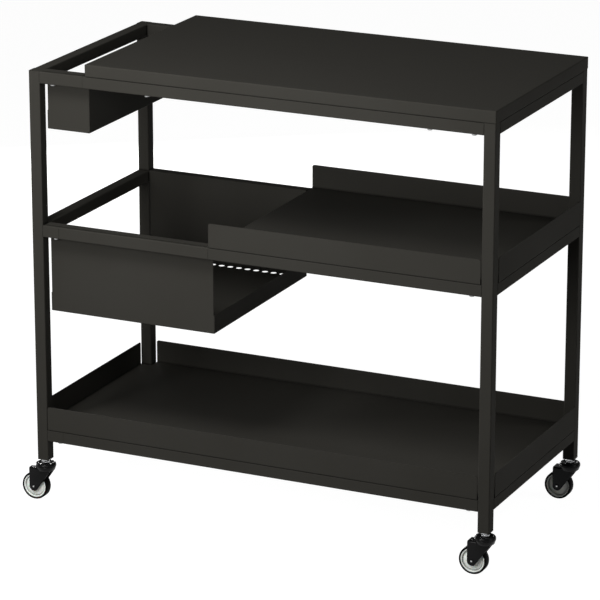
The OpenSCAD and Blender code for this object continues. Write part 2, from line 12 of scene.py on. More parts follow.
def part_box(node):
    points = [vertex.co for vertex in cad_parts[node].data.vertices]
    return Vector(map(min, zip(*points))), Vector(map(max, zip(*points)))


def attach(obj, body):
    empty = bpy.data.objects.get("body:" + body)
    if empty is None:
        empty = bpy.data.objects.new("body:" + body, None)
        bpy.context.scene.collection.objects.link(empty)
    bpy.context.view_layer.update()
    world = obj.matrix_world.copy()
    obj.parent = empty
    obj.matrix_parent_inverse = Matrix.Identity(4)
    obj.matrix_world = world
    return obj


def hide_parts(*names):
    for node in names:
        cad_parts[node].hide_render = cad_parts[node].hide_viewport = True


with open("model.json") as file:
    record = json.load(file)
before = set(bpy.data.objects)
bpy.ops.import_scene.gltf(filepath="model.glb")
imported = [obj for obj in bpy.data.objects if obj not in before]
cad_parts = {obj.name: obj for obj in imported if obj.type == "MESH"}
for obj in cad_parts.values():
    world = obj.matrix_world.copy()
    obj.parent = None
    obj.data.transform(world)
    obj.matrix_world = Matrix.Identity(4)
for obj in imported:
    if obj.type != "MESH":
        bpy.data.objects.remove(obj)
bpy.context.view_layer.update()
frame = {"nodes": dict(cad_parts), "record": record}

LOG = logging.getLogger("utility_cart")
MM = 0.001
MERGE = 0.001 * MM
SMOOTH_TURNED = 50.0
CART = "cart"
CORNERS = ("front_left", "back_left", "front_right", "back_right")


class Axis(Enum):
    """The axis that a turned part is spun about."""

    ACROSS = (0.0, 1.0, 0.0)
    UP = (0.0, 0.0, 1.0)


class Slot(Enum):
    """The material slots of the cart's record."""

    PAINT = "painted_steel"
    BLACK = "black_steel"
    ZINC = "zinc"
    HUB = "hub_plastic"
    TYRE = "tyre"


class Spot(Enum):
    """Small places that have a finish of their own."""

    SCREW = "screw_head"


Materials = dict[Slot | Spot, bpy.types.Material]


# Shader helpers


def link(
    tree: bpy.types.NodeTree, source: bpy.types.NodeSocket, target: bpy.types.NodeSocket
) -> None:
    """Joins an output socket to an input socket."""
    tree.links.new(source, target)


def new_group(
    name: str, inputs: dict[str, str], outputs: dict[str, str]
) -> bpy.types.NodeTree:
    """Starts a shader node group with its sockets.

    Args:
        name: the group's name.
        inputs: each input's socket type.
        outputs: each output's socket type.

    Returns:
        The node tree, with a Group Input and a Group Output node.
    """
    tree = bpy.data.node_groups.new(name, "ShaderNodeTree")
    for way, sockets in (("INPUT", inputs), ("OUTPUT", outputs)):
        for label, kind in sockets.items():
            tree.interface.new_socket(name=label, in_out=way, socket_type=kind)
    tree.nodes.new("NodeGroupInput")
    tree.nodes.new("NodeGroupOutput")
    return tree


class SurfaceEffects:
    """The node groups that the finishes share."""

    def __init__(self) -> None:
        """Builds each group once."""
        self.grain = self._grain()
        self.clouding = self._clouding()
        # Painted shade for joints and corners.
        self.painted_shade = self._painted_shade()

    @staticmethod
    def _grain() -> bpy.types.NodeTree:
        """Makes the fine pebbled skin of a cured coating.

        Returns:
            A group that takes a coordinate and a size, and puts out a height.
        """
        tree = new_group(
            "coating_grain",
            {"Vector": "NodeSocketVector", "Grains per metre": "NodeSocketFloat"},
            {"Height": "NodeSocketFloat"},
        )
        gin, gout = tree.nodes["Group Input"], tree.nodes["Group Output"]
        fine = tree.nodes.new("ShaderNodeTexNoise")
        fine.inputs["Detail"].default_value = 2.0
        fine.inputs["Roughness"].default_value = 0.6
        cells = tree.nodes.new("ShaderNodeTexVoronoi")
        cells.feature = "SMOOTH_F1"
        mix = tree.nodes.new("ShaderNodeMath")
        mix.operation = "ADD"
        for texture in (fine, cells):
            link(tree, gin.outputs["Vector"], texture.inputs["Vector"])
            link(tree, gin.outputs["Grains per metre"], texture.inputs["Scale"])
        link(tree, fine.outputs["Fac"], mix.inputs[0])
        link(tree, cells.outputs["Distance"], mix.inputs[1])
        link(tree, mix.outputs[0], gout.inputs["Height"])
        return tree

    @staticmethod
    def _clouding() -> bpy.types.NodeTree:
        """Makes the faint uneven tone of a sprayed or moulded surface.

        Returns:
            A group that takes a coordinate, two colours and a size, and puts out a colour and
            a mask.
        """
        tree = new_group(
            "surface_clouding",
            {
                "Vector": "NodeSocketVector",
                "Dark": "NodeSocketColor",
                "Light": "NodeSocketColor",
                "Clouds per metre": "NodeSocketFloat",
            },
            {"Color": "NodeSocketColor", "Mask": "NodeSocketFloat"},
        )
        gin, gout = tree.nodes["Group Input"], tree.nodes["Group Output"]
        noise = tree.nodes.new("ShaderNodeTexNoise")
        noise.inputs["Detail"].default_value = 4.0
        spread = tree.nodes.new("ShaderNodeMapRange")
        spread.inputs["From Min"].default_value = 0.35
        spread.inputs["From Max"].default_value = 0.65
        blend = tree.nodes.new("ShaderNodeMix")
        blend.data_type = "RGBA"
        link(tree, gin.outputs["Vector"], noise.inputs["Vector"])
        link(tree, gin.outputs["Clouds per metre"], noise.inputs["Scale"])
        link(tree, noise.outputs["Fac"], spread.inputs["Value"])
        link(tree, spread.outputs["Result"], blend.inputs["Factor"])
        link(tree, gin.outputs["Dark"], blend.inputs["A"])
        link(tree, gin.outputs["Light"], blend.inputs["B"])
        link(tree, blend.outputs["Result"], gout.inputs["Color"])
        link(tree, spread.outputs["Result"], gout.inputs["Mask"])
        return tree

    @staticmethod
    def _painted_shade() -> bpy.types.NodeTree:
        """Makes painted shade: darkens a colour by ambient occlusion in joints and corners.

        Returns:
            A group that takes a colour, a reach and a depth, and puts out the colour with painted
            shade.
        """
        tree = new_group(
            "painted_joint_shade",
            {"Color": "NodeSocketColor", "Reach": "NodeSocketFloat", "Depth": "NodeSocketFloat"},
            {"Color": "NodeSocketColor"},
        )
        gin, gout = tree.nodes["Group Input"], tree.nodes["Group Output"]
        # Painted shade: the colour is mixed towards black where ambient occlusion finds nearby
        # surfaces.
        openness = tree.nodes.new("ShaderNodeAmbientOcclusion")
        openness.samples = 16
        closed = tree.nodes.new("ShaderNodeMapRange")
        closed.inputs["From Min"].default_value = 0.95
        closed.inputs["From Max"].default_value = 0.45
        amount = tree.nodes.new("ShaderNodeMath")
        amount.operation = "MULTIPLY"
        blend = tree.nodes.new("ShaderNodeMix")
        blend.data_type = "RGBA"
        blend.inputs["B"].default_value = (0.0, 0.0, 0.0, 1.0)
        link(tree, gin.outputs["Reach"], openness.inputs["Distance"])
        link(tree, openness.outputs["AO"], closed.inputs["Value"])
        link(tree, closed.outputs["Result"], amount.inputs[0])
        link(tree, gin.outputs["Depth"], amount.inputs[1])
        link(tree, amount.outputs[0], blend.inputs["Factor"])
        link(tree, gin.outputs["Color"], blend.inputs["A"])
        link(tree, blend.outputs["Result"], gout.inputs["Color"])
        return tree


@dataclass(frozen=True)
class Finish:
    """One surface finish: its tones, gloss, grain and painted shade in joints and corners."""

    name: str
    dark: tuple[float, float, float]
    light: tuple[float, float, float]
    rough_low: float
    rough_high: float
    clouds: float = 6.0
    grains: float = 900.0
    grain_depth: float = 0.00004
    grain_strength: float = 0.3
    metallic: float = 0.0
    specular: float = 0.5
    subsurface: float = 0.0
    # Painted shade: how strongly and how far the base colour darkens in joints and corners.
    painted_shade_depth: float = 0.7
    painted_shade_reach: float = 0.005

    def build(self, effects: SurfaceEffects) -> bpy.types.Material:
        """Makes the material.

        Args:
            effects: the shared node groups.

        Returns:
            The finished material.
        """
        material = bpy.data.materials.new(self.name)
        material.use_nodes = True
        tree = material.node_tree
        shader = tree.nodes["Principled BSDF"]
        place = tree.nodes.new("ShaderNodeTexCoord")
        tone = self._group(tree, effects.clouding)
        tone.inputs["Dark"].default_value = (*self.dark, 1.0)
        tone.inputs["Light"].default_value = (*self.light, 1.0)
        tone.inputs["Clouds per metre"].default_value = self.clouds
        skin = self._group(tree, effects.grain)
        skin.inputs["Grains per metre"].default_value = self.grains
        gloss = tree.nodes.new("ShaderNodeMapRange")
        gloss.inputs["To Min"].default_value = self.rough_low
        gloss.inputs["To Max"].default_value = self.rough_high
        bump = tree.nodes.new("ShaderNodeBump")
        bump.inputs["Strength"].default_value = self.grain_strength
        bump.inputs["Distance"].default_value = self.grain_depth
        # Painted shade: ambient occlusion darkens the base colour in joints and corners.
        painted_shade = self._group(tree, effects.painted_shade)
        painted_shade.inputs["Reach"].default_value = self.painted_shade_reach
        painted_shade.inputs["Depth"].default_value = self.painted_shade_depth
        for group in (tone, skin):
            link(tree, place.outputs["Object"], group.inputs["Vector"])
        link(tree, tone.outputs["Color"], painted_shade.inputs["Color"])
        link(tree, painted_shade.outputs["Color"], shader.inputs["Base Color"])
        link(tree, tone.outputs["Mask"], gloss.inputs["Value"])
        link(tree, gloss.outputs["Result"], shader.inputs["Roughness"])
        link(tree, skin.outputs["Height"], bump.inputs["Height"])
        link(tree, bump.outputs["Normal"], shader.inputs["Normal"])
        shader.inputs["Metallic"].default_value = self.metallic
        shader.inputs["Specular IOR Level"].default_value = self.specular
        shader.inputs["Subsurface Weight"].default_value = self.subsurface
        return material

    @staticmethod
    def _group(tree: bpy.types.NodeTree, group: bpy.types.NodeTree) -> bpy.types.Node:
        """Places a node group in a material's tree."""
        node = tree.nodes.new("ShaderNodeGroup")
        node.node_tree = group
        return node


FINISHES = {
    Slot.PAINT: Finish(
        name="powder_coat_warm_grey",
        dark=(0.0292, 0.0278, 0.0240),
        light=(0.0318, 0.0304, 0.0266),
        rough_low=0.66,
        rough_high=0.74,
        specular=0.03,
        grain_strength=0.35,
    ),
    Slot.BLACK: Finish(
        name="satin_black_pressing",
        dark=(0.0038, 0.0038, 0.0039),
        light=(0.0055, 0.0055, 0.0057),
        rough_low=0.19,
        rough_high=0.27,
        clouds=40.0,
        grains=1800.0,
        grain_strength=0.12,
        specular=0.08,
    ),
    Spot.SCREW: Finish(
        name="dull_zinc_screw",
        dark=(0.32, 0.32, 0.32),
        light=(0.44, 0.44, 0.44),
        rough_low=0.3,
        rough_high=0.42,
        clouds=160.0,
        grains=3000.0,
        grain_strength=0.15,
        metallic=1.0,
    ),
    Slot.ZINC: Finish(
        name="bright_zinc_plate",
        dark=(0.52, 0.53, 0.54),
        light=(0.66, 0.67, 0.68),
        rough_low=0.24,
        rough_high=0.38,
        clouds=160.0,
        grains=3000.0,
        grain_strength=0.15,
        metallic=1.0,
    ),
    Slot.HUB: Finish(
        name="light_grey_hub",
        dark=(0.85, 0.87, 0.82),
        light=(0.89, 0.91, 0.86),
        rough_low=0.28,
        rough_high=0.36,
        clouds=30.0,
        grains=1500.0,
        grain_strength=0.08,
        subsurface=0.05,
        # Painted shade darkens the hub in its groove and corners.
        painted_shade_depth=0.55,
        painted_shade_reach=0.004,
    ),
    Slot.TYRE: Finish(
        name="black_tyre",
        dark=(0.0018, 0.0018, 0.0019),
        light=(0.0028, 0.0028, 0.0029),
        rough_low=0.48,
        rough_high=0.6,
        clouds=60.0,
        grains=2200.0,
        specular=0.02,
    ),
}


# Mesh helpers


def add_piece(
    name: str,
    mesh: bmesh.types.BMesh,
    slot: Slot,
    body: str,
    materials: Materials,
    replaced: tuple[str, ...] = (),
    smooth_below: float = 35.0,
    spot: Spot | None = None,
) -> bpy.types.Object:
    """Turns a finished bmesh into a piece of the cart.

    Args:
        name: the piece's name.
        mesh: the bmesh, in the cart's frame, which is freed here.
        slot: the material slot that it takes its finish from.
        body: the body that it moves with.
        materials: the material of each slot and spot.
        replaced: the solids that it stands for.
        smooth_below: edges flatter than this many degrees are shaded smooth.
        spot: a finish of its own, in place of the slot's.

    Returns:
        The new object.
    """
    bmesh.ops.remove_doubles(mesh, verts=mesh.verts, dist=MERGE)
    bmesh.ops.recalc_face_normals(mesh, faces=mesh.faces)
    limit = math.radians(smooth_below)
    for face in mesh.faces:
        face.smooth = True
    for edge in mesh.edges:
        edge.smooth = len(edge.link_faces) == 2 and edge.calc_face_angle(math.pi) < limit
    data = bpy.data.meshes.new(name)
    mesh.to_mesh(data)
    mesh.free()
    data.materials.append(materials[spot or slot])
    piece = bpy.data.objects.new(name, data)
    bpy.context.scene.collection.objects.link(piece)
    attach(piece, body)
    if replaced:
        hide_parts(*replaced)
    LOG.info("%s: %d faces, on %s", name, len(data.polygons), body)
    return piece


def sharp_edges(mesh: bmesh.types.BMesh, above: float = 30.0) -> list[bmesh.types.BMEdge]:
    """Lists the edges that turn by more than an angle in degrees."""
    limit = math.radians(above)
    return [e for e in mesh.edges if len(e.link_faces) == 2 and e.calc_face_angle(0.0) > limit]


def soften(
    mesh: bmesh.types.BMesh, edges: list[bmesh.types.BMEdge], width: float, segments: int = 2
) -> None:
    """Rounds edges off.

    Args:
        mesh: the bmesh to work on.
        edges: the edges to round.
        width: the rounding's width in metres.
        segments: the faces across the rounding.
    """
    bmesh.ops.bevel(
        mesh,
        geom=edges,
        offset=width,
        offset_type="OFFSET",
        segments=segments,
        profile=0.5,
        affect="EDGES",
        clamp_overlap=True,
        material=-1,
    )


def lathe(
    mesh: bmesh.types.BMesh,
    profile: list[tuple[float, float]],
    centre: Vector,
    axis: Axis,
    steps: int = 48,
    closed: bool = True,
) -> list[bmesh.types.BMVert]:
    """Spins an outline of radii and heights, in millimetres, about an axis.

    Args:
        mesh: the bmesh to add to.
        profile: pairs of radius and height along the axis.
        centre: the point that the heights count from.
        axis: the axis to spin about.
        steps: the faces round the axis.
        closed: whether the outline's last point joins its first.

    Returns:
        The new vertices.
    """
    before = set(mesh.verts)
    along = Vector(axis.value)
    outward = Vector((1.0, 0.0, 0.0))
    ring = [mesh.verts.new(centre + outward * r * MM + along * h * MM) for r, h in profile]
    pairs = list(zip(ring, ring[1:]))
    if closed:
        pairs.append((ring[-1], ring[0]))
    edges = [mesh.edges.new(pair) for pair in pairs]
    bmesh.ops.spin(
        mesh,
        geom=ring + edges,
        cent=centre,
        axis=along,
        angle=2 * math.pi,
        steps=steps,
        use_merge=True,
        use_duplicate=False,
    )
    made = [v for v in mesh.verts if v not in before]
    bmesh.ops.remove_doubles(mesh, verts=made, dist=MERGE)
    made = [v for v in mesh.verts if v not in before]
    faces = {f for v in made for f in v.link_faces}
    bmesh.ops.recalc_face_normals(mesh, faces=list(faces))
    return made


def middle(node: str) -> Vector:
    """Finds the middle of a solid's box."""
    low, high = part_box(node)
    return (low + high) / 2


# The casters


@dataclass
class Caster:
    """One swivel caster, dressed round its solids. Sizes are in millimetres."""

    corner: str
    materials: Materials
    cheek_r: float = 9.0
    cheek_front: float = 34.5
    cheek_slant: float = 33.5
    cheek_turns: int = 14
    fork_sheet: float = 2.0
    fork_edge: float = 0.35
    fork_edge_angle: float = 60.0
    crown_bend: float = 3.0
    crown_bend_faces: int = 5
    pivot_r: float = 4.06
    pivot_gap: float = 0.06
    rivet_room_r: float = 8.0
    rivet_room_h: float = 4.9
    race_h: float = 9.0
    race_drop: float = 1.5
    race_foot_r: float = 17.3
    race_foot_edge: float = 0.8
    race_rim_h: float = 1.0
    race_rim_slope: float = 0.6
    race_rim_in: float = 0.2
    race_rim_round: float = 0.3
    cap_round: float = 4.4
    cap_round_turns: int = 8
    cap_rim: float = 1.0
    cap_foot_edge: float = 0.3
    cap_dish_h: float = 1.4
    cap_dish_ease: float = 0.2
    cap_bore_r: float = 4.05
    tyre_gap: float = 0.05
    tyre_foot_drop: float = 0.4
    tyre_groove_in: float = 0.9
    tyre_groove_half: float = 0.3
    tyre_groove_depth: float = 0.35
    tyre_shoulder: float = 1.4
    tyre_shoulder_bend: float = 0.5
    tyre_shoulder_drop: float = 1.8
    hub_rim_t: float = 2.7
    hub_rim_half: float = 7.5
    hub_rim_edge: float = 0.4
    hub_rim_ease: float = 0.3
    hub_disc_half: float = 5.0
    hub_groove: float = 1.0
    hub_groove_lip: float = 0.4
    hub_groove_step: float = 0.3
    hub_groove_slope: float = 0.1
    hub_groove_depth: float = 0.7
    boss_r: float = 6.5
    boss_edge: float = 0.6
    boss_foot_in: float = 0.4
    boss_foot_h: float = 0.8
    boss_foot_out: float = 1.6
    axle_r: float = 2.5
    axle_gap: float = 0.06
    axle_head_h: float = 1.2
    axle_head_edge: float = 0.3
    axle_head_bend: float = 0.7
    axle_head_drop: float = 0.15
    axle_head_round: float = 1.2
    axle_steps: int = 32
    tip_r: float = 1.9
    tip_gap: float = 0.1
    tip_sunk: float = 0.35
    tip_round: float = 0.4
    tip_round_drop: float = 0.1
    tip_smooth: float = 60.0
    tip_steps: int = 24
    stem_r: float = 5.0
    stem_end: float = 1.0
    collar_h: float = 4.2
    nut_flats: float = 15.0
    nut_edge: float = 0.5
    nut_edge_faces: int = 3
    rivet_r: float = 7.0
    rivet_h: float = 2.0
    rivet_dome: tuple[tuple[float, float], ...] = ((0.5, 0.4), (0.85, 1.2))
    thread_pitch: float = 1.5
    thread_depth: float = 0.8
    thread_start: float = 0.01
    steps: int = 64

    def __post_init__(self) -> None:
        """Reads the caster's places from its solids."""
        self.leg = middle(f"swivel_cap_{self.corner}")
        self.axle = middle(f"axle_{self.corner}")
        self.wheel_low, self.wheel_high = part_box(f"tyre_{self.corner}")
        self.hub_low, self.hub_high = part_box(f"hub_{self.corner}")
        self.fork_low, self.fork_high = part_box(f"fork_{self.corner}")
        self.cap_low, self.cap_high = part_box(f"swivel_cap_{self.corner}")

    @property
    def swivel(self) -> str:
        """The body that the fork belongs to."""
        return f"swivel_{self.corner}"

    @property
    def wheel(self) -> str:
        """The body that the hub and tyre belong to."""
        return f"wheel_{self.corner}"

    def build(self) -> None:
        """Builds every piece of the caster."""
        self.build_tyre()
        self.build_hub()
        self.build_axle()
        self.build_fork()
        self.build_cap()
        self.build_stem()

    def build_tyre(self) -> None:
        """Spins the tyre, with round shoulders and a narrow groove in each side."""
        outer = (self.wheel_high.x - self.wheel_low.x) / 2 / MM
        inner = (self.hub_high.x - self.hub_low.x) / 2 / MM + self.tyre_gap
        half = (self.wheel_high.y - self.wheel_low.y) / 2 / MM
        groove_r = inner + self.tyre_groove_in
        side = [
            (inner, half - self.tyre_foot_drop),
            (groove_r - self.tyre_groove_half, half),
            (groove_r, half - self.tyre_groove_depth),
            (groove_r + self.tyre_groove_half, half),
            (outer - self.tyre_shoulder, half),
            (outer - self.tyre_shoulder_bend, half - self.tyre_shoulder_bend),
            (outer, half - self.tyre_shoulder_drop),
        ]
        profile = [(r, -h) for r, h in side] + side[::-1]
        mesh = bmesh.new()
        lathe(mesh, profile, self.axle, Axis.ACROSS, self.steps)
        add_piece(f"tyre_band_{self.corner}", mesh, Slot.TYRE, self.wheel, self.materials,
                  (f"tyre_{self.corner}",), SMOOTH_TURNED)

    def build_hub(self) -> None:
        """Spins the hub: a raised rim, a recessed disc and a boss, with eased edges."""
        rim = (self.hub_high.x - self.hub_low.x) / 2 / MM
        boss_half = (self.hub_high.y - self.hub_low.y) / 2 / MM
        inner = rim - self.hub_rim_t
        groove = inner - self.hub_groove
        groove_floor = self.hub_disc_half - self.hub_groove_depth
        side = [
            (self.axle_r + self.axle_gap, boss_half),
            (self.boss_r - self.boss_edge, boss_half),
            (self.boss_r, boss_half - self.boss_edge),
            (self.boss_r + self.boss_foot_in, self.hub_disc_half + self.boss_foot_h),
            (self.boss_r + self.boss_foot_out, self.hub_disc_half),
            (groove - self.hub_groove_lip, self.hub_disc_half),
            (groove, self.hub_disc_half - self.hub_groove_step),
            (groove + self.hub_groove_slope, groove_floor),
            (inner - self.hub_groove_slope, groove_floor),
            (inner, self.hub_rim_half - self.hub_rim_ease),
            (inner + self.hub_rim_ease, self.hub_rim_half),
            (rim - self.hub_rim_edge, self.hub_rim_half),
            (rim, self.hub_rim_half - self.hub_rim_edge),
        ]
        profile = side + [(r, -h) for r, h in reversed(side)]
        mesh = bmesh.new()
        lathe(mesh, profile, self.axle, Axis.ACROSS, self.steps)
        add_piece(f"hub_disc_{self.corner}", mesh, Slot.HUB, self.wheel, self.materials,
                  (f"hub_{self.corner}",), SMOOTH_TURNED)

    def build_axle(self) -> None:
        """Spins the axle, with a head at each end and a bare peened tip in its middle."""
        low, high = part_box(f"axle_{self.corner}")
        half = (high.y - low.y) / 2 / MM
        head = (high.x - low.x) / 2 / MM
        face = half - self.axle_head_h
        tip = half - self.tip_sunk
        side = [
            (self.axle_r, face),
            (head, face),
            (head, face + self.axle_head_edge),
            (head - self.axle_head_bend, half - self.axle_head_drop),
            (head - self.axle_head_round, half),
            (self.tip_r + self.tip_gap, half),
            (self.tip_r, tip),
            (0.0, tip),
        ]
        profile = [(r, -h) for r, h in reversed(side)] + side
        mesh = bmesh.new()
        lathe(mesh, profile, self.axle, Axis.ACROSS, self.axle_steps, closed=False)
        add_piece(f"axle_rivet_{self.corner}", mesh, Slot.BLACK, self.swivel, self.materials,
                  (f"axle_{self.corner}",), SMOOTH_TURNED)
        dome = [
            (0.0, tip),
            (self.tip_r, tip),
            (self.tip_r - self.tip_round, half - self.tip_round_drop),
            (0.0, half),
        ]
        mesh = bmesh.new()
        for way in (-1.0, 1.0):
            outline = [(r, way * h) for r, h in dome]
            lathe(mesh, outline, self.axle, Axis.ACROSS, self.tip_steps, closed=False)
        add_piece(f"axle_tip_{self.corner}", mesh, Slot.ZINC, self.swivel, self.materials,
                  smooth_below=self.tip_smooth, spot=Spot.SCREW)

    def cheek_points(self) -> list[tuple[float, float]]:
        """Draws a cheek from the side, from its upper back corner round the axle.

        Returns:
            Points in millimetres from the axle, forward and up.
        """
        top = (self.crown_top() - self.axle.z) / MM
        reach = math.hypot(self.cheek_front, self.cheek_slant)
        touch = math.atan2(self.cheek_slant, self.cheek_front) - math.acos(self.cheek_r / reach)
        turns = self.cheek_turns
        arc = [math.pi + (touch + math.pi) * i / turns for i in range(turns + 1)]
        points = [(-self.cheek_r, top)]
        points += [(self.cheek_r * math.cos(a), self.cheek_r * math.sin(a)) for a in arc]
        points += [(self.cheek_front, self.cheek_slant), (self.cheek_front, top)]
        return points

    def crown_top(self) -> float:
        """The height of the crown's upper face, in metres."""
        return self.fork_high.z - (self.race_h - self.race_drop - self.fork_sheet) * MM

    def build_fork(self) -> None:
        """Bends the fork from one strip, and spins the lower race on its crown."""
        mesh = bmesh.new()
        half = (self.fork_width() / 2) * MM
        points = self.cheek_points()
        sides = []
        for y in (-half, half):
            verts = [mesh.verts.new(self.axle + Vector((x * MM, y, z * MM))) for x, z in points]
            mesh.faces.new(verts)
            sides.append(verts)
        near, far = sides
        crown = mesh.faces.new((near[0], near[-1], far[-1], far[0]))
        bends = [e for e in crown.edges if abs(e.verts[0].co.y - e.verts[1].co.y) < MM]
        bmesh.ops.recalc_face_normals(mesh, faces=mesh.faces)
        if crown.normal.z < 0:
            bmesh.ops.reverse_faces(mesh, faces=mesh.faces)
        soften(mesh, bends, self.crown_bend * MM, self.crown_bend_faces)
        self.pierce_crown(mesh)
        bmesh.ops.solidify(mesh, geom=list(mesh.faces), thickness=self.fork_sheet * MM)
        bmesh.ops.recalc_face_normals(mesh, faces=mesh.faces)
        soften(mesh, sharp_edges(mesh, self.fork_edge_angle), self.fork_edge * MM)
        self.add_lower_race(mesh)
        add_piece(f"fork_pressing_{self.corner}", mesh, Slot.BLACK, self.swivel, self.materials,
                  (f"fork_{self.corner}",))

    def pierce_crown(self, mesh: bmesh.types.BMesh) -> None:
        """Opens the round hole in the crown that the rivet head sits in.

        Args:
            mesh: the bmesh of the bent strip, before it has its thickness.
        """
        flat = max(mesh.faces, key=lambda face: face.normal.z * face.calc_area())
        border = list(flat.edges)
        hole = bmesh.ops.create_circle(
            mesh,
            cap_ends=False,
            radius=self.rivet_room_r * MM,
            segments=self.steps,
            matrix=Matrix.Translation((self.leg.x, self.leg.y, self.crown_top())),
        )
        ring = {edge for vert in hole["verts"] for edge in vert.link_edges}
        bmesh.ops.delete(mesh, geom=[flat], context="FACES_ONLY")
        bmesh.ops.triangle_fill(
            mesh,
            edges=border + list(ring),
            use_beauty=True,
            use_dissolve=False,
            normal=Axis.UP.value,
        )

    def fork_width(self) -> float:
        """The width over the cheeks, in millimetres."""
        low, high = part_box(f"axle_{self.corner}")
        return (high.y - low.y) / MM - 2 * self.axle_head_h

    def add_lower_race(self, mesh: bmesh.types.BMesh) -> None:
        """Spins the lower race, a flared cup with a rolled rim.

        Args:
            mesh: the bmesh to add to.
        """
        top = (self.fork_high.z - self.leg.z) / MM
        outer = (self.fork_high.y - self.fork_low.y) / 2 / MM
        foot = top - self.race_h
        profile = [
            (self.pivot_r, foot + self.rivet_room_h),
            (self.rivet_room_r, foot + self.rivet_room_h),
            (self.rivet_room_r, foot),
            (self.race_foot_r - self.race_foot_edge, foot),
            (self.race_foot_r, foot + self.race_foot_edge),
            (outer - self.race_rim_in, top - self.race_rim_h - self.race_rim_slope),
            (outer, top - self.race_rim_h),
            (outer, top - self.race_rim_round),
            (outer - self.race_rim_round, top),
            (self.pivot_r, top),
        ]
        lathe(mesh, profile, self.leg, Axis.UP, self.steps)

    def build_cap(self) -> None:
        """Spins the upper race, with an eased rim, a round shoulder and a dished top."""
        low = (self.cap_low.z - self.leg.z) / MM
        high = (self.cap_high.z - self.leg.z) / MM
        outer = (self.cap_high.x - self.cap_low.x) / 2 / MM
        bend, turns = self.cap_round, self.cap_round_turns
        shoulder = [
            (outer - bend + bend * math.cos(a), high - bend + bend * math.sin(a))
            for a in (math.pi / 2 * i / turns for i in range(turns + 1))
        ]
        dish_r = outer - bend - self.cap_rim
        depth, ease, edge = self.cap_dish_h, self.cap_dish_ease, self.cap_foot_edge
        dish = [
            (dish_r + ease, high),
            (dish_r - ease, high - ease),
            (dish_r - depth + ease, high - depth + ease),
            (dish_r - depth - ease, high - depth),
            (self.cap_bore_r, high - depth),
        ]
        foot = [(self.cap_bore_r, low), (outer - edge, low), (outer, low + edge)]
        profile = foot + shoulder + dish
        mesh = bmesh.new()
        lathe(mesh, profile, self.leg, Axis.UP, self.steps)
        add_piece(f"race_cap_{self.corner}", mesh, Slot.BLACK, CART, self.materials,
                  (f"swivel_cap_{self.corner}",))

    def build_stem(self) -> None:
        """Spins the stem with its rivet head and rolled thread, and adds its hexagonal collar."""
        low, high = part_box(f"stem_{self.corner}")
        foot = (self.cap_high.z - self.cap_dish_h * MM - self.leg.z) / MM
        collar = foot + self.collar_h
        bottom = (low.z - self.leg.z) / MM
        top = (high.z - self.leg.z) / MM
        rivet_seat = bottom + self.rivet_h
        root = self.stem_r - self.thread_depth
        neck = self.pivot_r - self.pivot_gap
        thread = [(self.stem_r, collar + self.thread_start)]
        turn = collar + self.thread_pitch / 2
        while turn < top - self.thread_pitch:
            thread += [(root, turn), (self.stem_r, turn + self.thread_pitch / 2)]
            turn += self.thread_pitch
        profile = [(0.0, bottom)]
        profile += [(self.rivet_r * share, bottom + rise) for share, rise in self.rivet_dome]
        profile += [(self.rivet_r, rivet_seat), (neck, rivet_seat)]
        profile += [(neck, foot), (self.stem_r, foot)]
        profile += thread + [(self.stem_r - self.stem_end, top), (0.0, top)]
        mesh = bmesh.new()
        lathe(mesh, profile, self.leg, Axis.UP, self.steps // 2, closed=False)
        self.add_hexagon(mesh, foot, self.collar_h)
        add_piece(f"stem_and_collar_{self.corner}", mesh, Slot.ZINC, CART, self.materials,
                  (f"stem_{self.corner}",))

    def add_hexagon(self, mesh: bmesh.types.BMesh, foot: float, height: float) -> None:
        """Adds a hexagonal block with its corners turned off.

        Args:
            mesh: the bmesh to add to.
            foot: its lower face, in millimetres from the caster's middle.
            height: its height in millimetres.
        """
        corner_r = self.nut_flats / math.sqrt(3)
        place = Matrix.Translation((self.leg.x, self.leg.y, self.leg.z + (foot + height / 2) * MM))
        made = bmesh.ops.create_cone(
            mesh,
            cap_ends=True,
            cap_tris=False,
            segments=6,
            radius1=corner_r * MM,
            radius2=corner_r * MM,
            depth=height * MM,
            matrix=place @ Matrix.Rotation(math.pi / 6, 4, "Z"),
        )
        edges = {e for v in made["verts"] for e in v.link_edges}
        rims = [e for e in edges if abs(e.verts[0].co.z - e.verts[1].co.z) < MM]
        soften(mesh, rims, self.nut_edge * MM, self.nut_edge_faces)


# Screws


